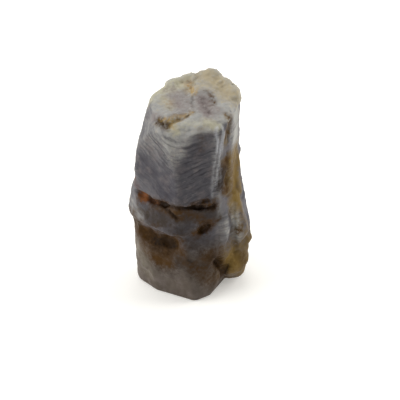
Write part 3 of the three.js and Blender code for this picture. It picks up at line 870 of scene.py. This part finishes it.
@dataclass
class Nodes:
    """A material's node tree, with short calls for the nodes that the finishes use.

    Attributes:
        tree: The node tree.
        shader: Its one surface shader.
    """

    tree: bpy.types.NodeTree
    shader: bpy.types.Node

    @classmethod
    def of(cls, material: bpy.types.Material) -> "Nodes":
        """Clears a material and gives it one surface shader."""
        material.use_nodes = True
        tree = material.node_tree
        tree.nodes.clear()
        shader = tree.nodes.new("ShaderNodeBsdfPrincipled")
        output = tree.nodes.new("ShaderNodeOutputMaterial")
        tree.links.new(shader.outputs["BSDF"], output.inputs["Surface"])
        return cls(tree, shader)

    def join(self, source: Socket, target: Socket) -> None:
        """Links one socket to another."""
        self.tree.links.new(source, target)

    def put(self, value: Socket | Colour | float, target: Socket) -> None:
        """Links a socket to the target, or sets the target to a plain colour or number."""
        if isinstance(value, Socket):
            self.join(value, target)
        elif isinstance(value, tuple):
            target.default_value = (*value, 1)
        else:
            target.default_value = value

    def _node(self, kind: str, **inputs: Socket | float) -> bpy.types.Node:
        """Adds a node of a kind, with its named inputs filled."""
        node = self.tree.nodes.new(kind)
        for name, value in inputs.items():
            self.put(value, node.inputs[name])
        return node

    def attribute(self, mask: Stain | Form) -> Socket:
        """Reads one of the crystal's masks."""
        node = self._node("ShaderNodeAttribute")
        node.attribute_name = mask.value
        return node.outputs["Fac"]

    def millimetres(self) -> Socket:
        """The place on the piece, in millimetres."""
        place = self._node("ShaderNodeTexCoord").outputs["Object"]
        scaled = self._node("ShaderNodeVectorMath")
        scaled.operation = "SCALE"
        scaled.inputs["Scale"].default_value = 1 / MILLIMETRE
        self.join(place, scaled.inputs[0])
        return scaled.outputs["Vector"]

    def noise(self, place: Socket, scale: float, detail: float, roughness: float) -> Socket:
        """Noise over a place, with scale waves to the millimetre."""
        settings = {"Scale": scale, "Detail": detail, "Roughness": roughness}
        return self._node("ShaderNodeTexNoise", Vector=place, **settings).outputs["Fac"]

    def growth_noise(self) -> Socket:
        """Noise drawn out along the growth lines, for lines finer than the mesh."""
        across = self.scaled(self.attribute(Form.ACROSS_GROWTH), 3.4)
        along = self.scaled(self.attribute(Form.ALONG_GROWTH), 0.35)
        place = self._node("ShaderNodeCombineXYZ", X=across, Y=along)
        return self.noise(place.outputs["Vector"], 1.0, 4, 0.62)

    def math(self, operation: str, *numbers: Socket | float, clamp: bool = True) -> Socket:
        """One operation on two or three numbers. Its result is kept between 0 and 1 where clamp is set."""
        node = self._node("ShaderNodeMath")
        node.operation = operation
        node.use_clamp = clamp
        for number, target in zip(numbers, node.inputs):
            self.put(number, target)
        return node.outputs["Value"]

    def scaled(self, value: Socket, factor: float) -> Socket:
        """A number times a factor."""
        return self.math("MULTIPLY", value, factor, clamp=False)

    def remapped(self, value: Socket, low: float, high: float) -> Socket:
        """Noise about 0.25 to 0.75, brought to the range low to high."""
        return self._range(value, 0.25, 0.75, low, high)

    def stretch(self, value: Socket, low: float, high: float) -> Socket:
        """A number as a share of the way from low to high."""
        return self._range(value, low, high, 0.0, 1.0)

    def _range(self, value: Socket, from_low: float, from_high: float, low: float, high: float) -> Socket:
        """Brings a number from one range to another."""
        ends = {"From Min": from_low, "From Max": from_high, "To Min": low, "To Max": high}
        return self._node("ShaderNodeMapRange", Value=value, **ends).outputs["Result"]

    def weigh(self, mask: Socket, grain: Socket, amount: float) -> Socket:
        """A mask whose soft border is broken up by grain.

        Args:
            mask: The mask, 0 to 1.
            grain: Noise, about 0.25 to 0.75.
            amount: How strongly the grain breaks it up.

        Returns:
            The uneven mask, 0 to 1.
        """
        centred = self._range(grain, 0.3, 0.7, -amount, amount)
        inner = self.math("MULTIPLY", mask, self.math("SUBTRACT", 1.0, mask))
        return self.math("MULTIPLY_ADD", centred, self.scaled(inner, 4.0), mask)

    def mix(self, share: Socket, first: Socket | Colour, second: Socket | Colour) -> Socket:
        """The first colour, covered by the second to a share of 0 to 1."""
        node = self._node("ShaderNodeMix")
        node.data_type = "RGBA"
        self.join(share, node.inputs["Factor"])
        self.put(first, node.inputs[6])
        self.put(second, node.inputs[7])
        return node.outputs[2]

    def bump(self, height: Socket, strength: float, depth: float, below: Socket | None = None) -> Socket:
        """Fine relief in the shading alone.

        Args:
            height: Its height, 0 to 1.
            strength: How strong it is.
            depth: How high a height of 1 stands.
            below: Other fine relief that this one lies on.

        Returns:
            The direction that the surface faces.
        """
        size = {"Strength": strength, "Distance": depth * MILLIMETRE}
        node = self._node("ShaderNodeBump", Height=height, **size)
        if below is not None:
            self.join(below, node.inputs["Normal"])
        return node.outputs["Normal"]


@dataclass
class RoughSapphire:
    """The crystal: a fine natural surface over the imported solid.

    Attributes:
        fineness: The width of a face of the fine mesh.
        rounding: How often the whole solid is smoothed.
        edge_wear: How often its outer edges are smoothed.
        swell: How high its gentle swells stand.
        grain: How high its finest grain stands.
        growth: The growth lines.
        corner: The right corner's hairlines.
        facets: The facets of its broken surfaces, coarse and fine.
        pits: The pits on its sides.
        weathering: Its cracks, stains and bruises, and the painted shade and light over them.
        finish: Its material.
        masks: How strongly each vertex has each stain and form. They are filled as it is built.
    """

    fineness: float = 0.1
    rounding: int = 5
    edge_wear: int = 26
    swell: float = 0.09
    grain: float = 0.035
    growth: GrowthLines = GrowthLines()
    corner: RightCorner = RightCorner()
    facets: tuple[BrokenSurface, ...] = (
        BrokenSurface(1.6, 0.05, 8, Draw.COARSE_FACETS),
        BrokenSurface(0.6, 0.05, 3, Draw.FINE_FACETS),
    )
    pits: Pits = Pits()
    weathering: Weathering = Weathering()
    finish: SapphireFinish = SapphireFinish()
    masks: dict[Stain | Form, np.ndarray] = field(default_factory=dict)

    def build(self) -> bpy.types.Object:
        """Builds the crystal and sets it in the frame.

        Returns:
            The finished piece.
        """
        mesh = self._fine_mesh(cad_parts[CRYSTAL_NODE])
        skin = Skin.of(mesh)
        self._wear(skin)
        skin.write(mesh)
        self._store(mesh)
        mesh.shade_smooth()
        mesh.materials.clear()
        mesh.materials.append(self.finish.material())
        piece = bpy.data.objects.new("rough_sapphire_crystal", mesh)
        bpy.context.scene.collection.objects.link(piece)
        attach(piece, "root")
        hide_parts(CRYSTAL_NODE)
        return piece

    def _fine_mesh(self, solid: bpy.types.Object) -> bpy.types.Mesh:
        """Copies a solid as an even fine mesh.

        Args:
            solid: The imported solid, which isn't changed.

        Returns:
            A new mesh, in millimetres.
        """
        coarse = solid.data.copy()
        coarse.transform(Matrix.Scale(1 / MILLIMETRE, 4))
        carrier = bpy.data.objects.new("carrier", coarse)
        bpy.context.scene.collection.objects.link(carrier)
        remesh = carrier.modifiers.new("fine", "REMESH")
        remesh.mode = "VOXEL"
        remesh.voxel_size = self.fineness
        graph = bpy.context.evaluated_depsgraph_get()
        fine = bpy.data.meshes.new_from_object(carrier.evaluated_get(graph))
        bpy.data.objects.remove(carrier)
        bpy.data.meshes.remove(coarse)
        fine.name = "rough_sapphire_crystal"
        return fine

    def _wear(self, skin: Skin) -> None:
        """Rounds the solid's edges, adds the fine relief, and works out the masks."""
        ragged = GradientNoise(Draw.RAGGED_BORDERS).layered(skin.points / 0.8, 4)
        self._round(skin)
        loose, on_top = 1 - skin.on_foot, skin.on_top
        low = between(skin.height, PARTING + 0.3, FOOT_SWELLING)
        relief = self._relief(skin, on_top, low) + self._cover(skin, ragged)
        skin.points = skin.points + skin.normals * (relief * loose)[:, None]
        skin.points[:, 2] = np.maximum(skin.points[:, 2], 0)
        self._tint(skin, on_top, low)

    def _round(self, skin: Skin) -> None:
        """Smooths the whole skin a little, and its outer edges more."""
        skin.points = skin.smoothed(skin.points, self.rounding)
        worn = skin.smoothed(skin.points, self.edge_wear)
        gap = np.einsum("ij,ij->i", worn - skin.points, skin.normals)
        top_rim = between(skin.height, TOP_RIM + 0.6, TOP_RIM + 1.2)
        outer = between(gap, -0.02, -0.12) * (1 - skin.on_foot) * (1 - 0.55 * top_rim)
        skin.points = skin.points + (worn - skin.points) * outer[:, None]

    def _relief(self, skin: Skin, on_top: np.ndarray, low: np.ndarray) -> np.ndarray:
        """Adds up the lines, facets, pits and grain.

        Args:
            skin: The rounded surface.
            on_top: 1 on the broken top.
            low: 1 on the foot, and 0 above the parting.

        Returns:
            How far each vertex moves outward.
        """
        coarse, fine = self.facets
        relief = self.growth.relief(skin) + self.corner.relief(skin)
        relief += self.swell * GradientNoise(Draw.SWELLS).layered(skin.points / 2.6, 3)
        relief += coarse.relief(skin) * (0.35 + 0.65 * np.maximum(low, on_top))
        relief += fine.relief(skin) * (0.15 + 0.75 * on_top + 0.45 * low)
        relief += self.pits.relief(skin) * (0.25 + 0.75 * low) * (1 - on_top)
        grain = GradientNoise(Draw.GRAIN).layered(skin.points / 0.3, 2)
        return relief + self.grain * grain * (0.35 + on_top)

    def _cover(self, skin: Skin, ragged: np.ndarray) -> np.ndarray:
        """Lays the traces on the skin.

        Args:
            skin: The crystal's surface.
            ragged: Noise that makes their borders uneven.

        Returns:
            The relief that the traces cut or add.
        """
        relief = np.zeros(len(skin.points))
        for stain in Stain:
            self.masks[stain] = np.zeros(len(skin.points))
        for trace in self.weathering.traces:
            share = skin.spread(trace, ragged)
            self._strengthen(trace.stain, share * trace.strength)
            relief -= share * trace.depth
        crumbs = 0.05 + 0.12 * GradientNoise(Draw.CRUMBS).layered(skin.points / 0.22, 2)
        return skin.smoothed(relief, 2) + self.masks[Stain.OCHRE] * crumbs

    def _strengthen(self, stain: Stain, share: np.ndarray) -> None:
        """Raises a stain to a share, wherever it is weaker."""
        np.maximum(self.masks[stain], share, out=self.masks[stain])

    def _tint(self, skin: Skin, on_top: np.ndarray, low: np.ndarray) -> None:
        """Works out what follows the crystal's own form, including painted light and shade, and softens the
        stains.

        Args:
            skin: The worn surface.
            on_top: 1 on the broken top.
            low: 1 on the foot, and 0 above the parting.
        """
        height, hollow = skin.height, skin.hollowness(4)
        drift = GradientNoise(Draw.DRIFT).layered(skin.points / 3.0, 3)
        upper = between(height, PARTING + 0.6, PARTING + 1.8)
        # Convex edges made paler: wear, and a painted edge highlight.
        worn = between(hollow, -0.006, -0.036) * (0.12 + 0.88 * upper)
        self.masks[Form.WORN_AND_LIT_EDGES] = worn * (1 - 0.75 * self.masks[Stain.DARK])
        # Small hollows get a brown film and painted shade.
        self._strengthen(Stain.UMBER_AND_SHADE, between(hollow, 0.015, 0.06) * 0.75)
        wide_hollow = between(skin.hollowness(30), 0.05, 0.2)
        self._strengthen(Stain.BROWN, wide_hollow * (0.25 + 0.5 * low))
        # The top, the left face, the front shoulder and the right strip are made paler: pale bruising, and
        # painted light where the lamps fall on them.
        half_width = between(height, 13.0, 17.8) * 20 + 8  # the pale shoulder's, in degrees
        beside = np.abs(skin.turn_from(FRONT_EDGE - 5)) + 5 * drift
        shoulder = between(beside, half_width, half_width * 0.2) * between(height, 13.2, 16.2)
        left_face = skin.sector(FRONT_EDGE - 32, 42, 16) * between(height, 13, 18)
        strip = self.corner.strip(skin)
        for pale_and_lit_share in (on_top * 0.85, left_face * 0.35, shoulder * 0.55, strip * 0.14):
            self._strengthen(Stain.PALE_AND_LIT, pale_and_lit_share)
        self._soften(skin)
        # Painted shade on the right front face and on the left face under the top.
        shaded_right = skin.sector(FRONT_EDGE + 22, 34, 18) * between(height, 17.2, 13.8)
        shaded_right *= between(height, 3, 6)
        shaded_left = skin.sector(FRONT_EDGE - 36, 44, 26) * between(height, 14, 11.6)
        shaded_left *= between(height, 10.2, 10.8)
        self.masks[Form.SHADED_FACE] = np.maximum(shaded_right, shaded_left * 0.6)
        # Darker and browner towards the foot: light stain, and painted shade.
        self.masks[Form.LOW_STAIN_AND_SHADE] = between(height + drift, 6.8, 4.2) * (1 - on_top)
        self.masks[Form.ACROSS_GROWTH] = self.growth.across(skin)
        self.masks[Form.ALONG_GROWTH] = self.growth.along(skin)
        self.masks[Form.GROWTH_STRENGTH] = self.growth.strength(skin)

    def _soften(self, skin: Skin) -> None:
        """Softens the stains' borders, and more so on the foot."""
        for stain in Stain:
            sharp = skin.smoothed(self.masks[stain], 1 if stain is Stain.WHITE else 2)
            soft = skin.smoothed(sharp, 14)
            softened = between(skin.height, COLLAR_EDGE, FOOT_SWELLING)
            self.masks[stain] = sharp + (soft - sharp) * softened

    def _store(self, mesh: bpy.types.Mesh) -> None:
        """Writes the masks to the mesh, one attribute each."""
        for mask, values in self.masks.items():
            attribute = mesh.attributes.new(mask.value, "FLOAT", "POINT")
            attribute.data.foreach_set("value", values.astype(np.float32))


@dataclass(frozen=True)
class Softbox:
    """A square lamp with soft light, aimed at the crystal.

    Attributes:
        name: Its name.
        azimuth: Where it stands round the crystal, in degrees from +X.
        elevation: How high it stands, in degrees above the horizon.
        distance: How far off it is, in metres.
        width: Its width, in metres.
        power: Its power, in watts.
    """

    name: str
    azimuth: float
    elevation: float
    distance: float
    width: float
    power: float

    def hang(self, aim: Vector) -> None:
        """Hangs the lamp so that it points at a place."""
        lamp = bpy.data.lights.new(self.name, "AREA")
        lamp.shape = "SQUARE"
        lamp.size = self.width
        lamp.energy = self.power
        holder = bpy.data.objects.new(self.name, lamp)
        bpy.context.scene.collection.objects.link(holder)
        turn, tilt = math.radians(self.azimuth), math.radians(self.elevation)
        away = Vector((math.cos(turn) * math.cos(tilt), math.sin(turn) * math.cos(tilt), math.sin(tilt)))
        holder.location = aim + away * self.distance
        holder.rotation_euler = (-away).to_track_quat("-Z", "Y").to_euler()


@dataclass
class Studio:
    """The floor, the lamps and the camera.

    Attributes:
        elevation: How far the camera looks down, in degrees.
        distance: From the camera to what it aims at.
        lens: The focal length of its lens.
        sensor: The width of its sensor.
        aim_beside: How far to the right of the crystal's axis the camera aims.
        aim_height: How high it aims.
        floor_width: The width of the floor, in metres.
        sky: How bright the white surroundings are.
        lamps: The lamps.
    """

    elevation: float = 32.0
    distance: float = 150.0
    lens: float = 150.0
    sensor: float = 36.0
    aim_beside: float = 1.0
    aim_height: float = 8.35
    floor_width: float = 3.0
    sky: float = 0.16
    lamps: tuple[Softbox, ...] = (
        Softbox("top_softbox", 120, 76, 0.5, 0.4, 1.5),
        Softbox("left_softbox", 186, 22, 0.5, 0.4, 2.1),
        Softbox("right_softbox", 20, 30, 0.5, 0.4, 2.0),
    )

    def place_camera(self) -> None:
        """Sets the camera where the photograph was taken from."""
        tilt = math.radians(self.elevation)
        aim = Vector((AXIS_X + self.aim_beside, AXIS_Y, self.aim_height)) * MILLIMETRE
        forward = Vector((0, math.cos(tilt), -math.sin(tilt)))
        lens = bpy.data.cameras.new("camera")
        lens.lens = self.lens
        lens.sensor_width = self.sensor
        lens.clip_start = 0.01  # in metres
        camera = bpy.data.objects.new("camera", lens)
        bpy.context.scene.collection.objects.link(camera)
        camera.location = aim - forward * (self.distance * MILLIMETRE)
        camera.rotation_euler = forward.to_track_quat("-Z", "Y").to_euler()
        bpy.context.scene.camera = camera

    def lay_floor(self) -> bpy.types.Object:
        """Lays the floor that the crystal stands on."""
        half = self.floor_width / 2
        corners = [(-half, -half, 0), (half, -half, 0), (half, half, 0), (-half, half, 0)]
        mesh = bpy.data.meshes.new("floor")
        mesh.from_pydata(corners, [], [(0, 1, 2, 3)])
        mesh.materials.append(FloorFinish().material())
        floor = bpy.data.objects.new("floor", mesh)
        bpy.context.scene.collection.objects.link(floor)
        return floor

    def light(self) -> None:
        """Hangs the lamps and sets the white surroundings."""
        aim = Vector((0, 0, self.aim_height)) * MILLIMETRE
        for lamp in self.lamps:
            lamp.hang(aim)
        world = bpy.data.worlds.new("white_surroundings")
        world.use_nodes = True
        background = world.node_tree.nodes["Background"]
        background.inputs["Color"].default_value = (1, 1, 1, 1)
        background.inputs["Strength"].default_value = self.sky
        scene = bpy.context.scene
        scene.world = world
        scene.view_settings.view_transform = "Standard"
        scene.view_settings.look = "None"


def main() -> None:
    """Builds the studio and the crystal in order, and reports each piece."""
    logging.basicConfig(level=logging.INFO, format="%(name)s: %(message)s")
    studio = Studio()
    studio.place_camera()
    log.info("camera: %.0f mm away, looking down %.0f degrees", studio.distance, studio.elevation)
    studio.lay_floor()
    studio.light()
    log.info("floor and %d lamps", len(studio.lamps))
    crystal = RoughSapphire().build()
    log.info("%s: %d faces", crystal.name, len(crystal.data.polygons))


if __name__ == "__main__":
    main()
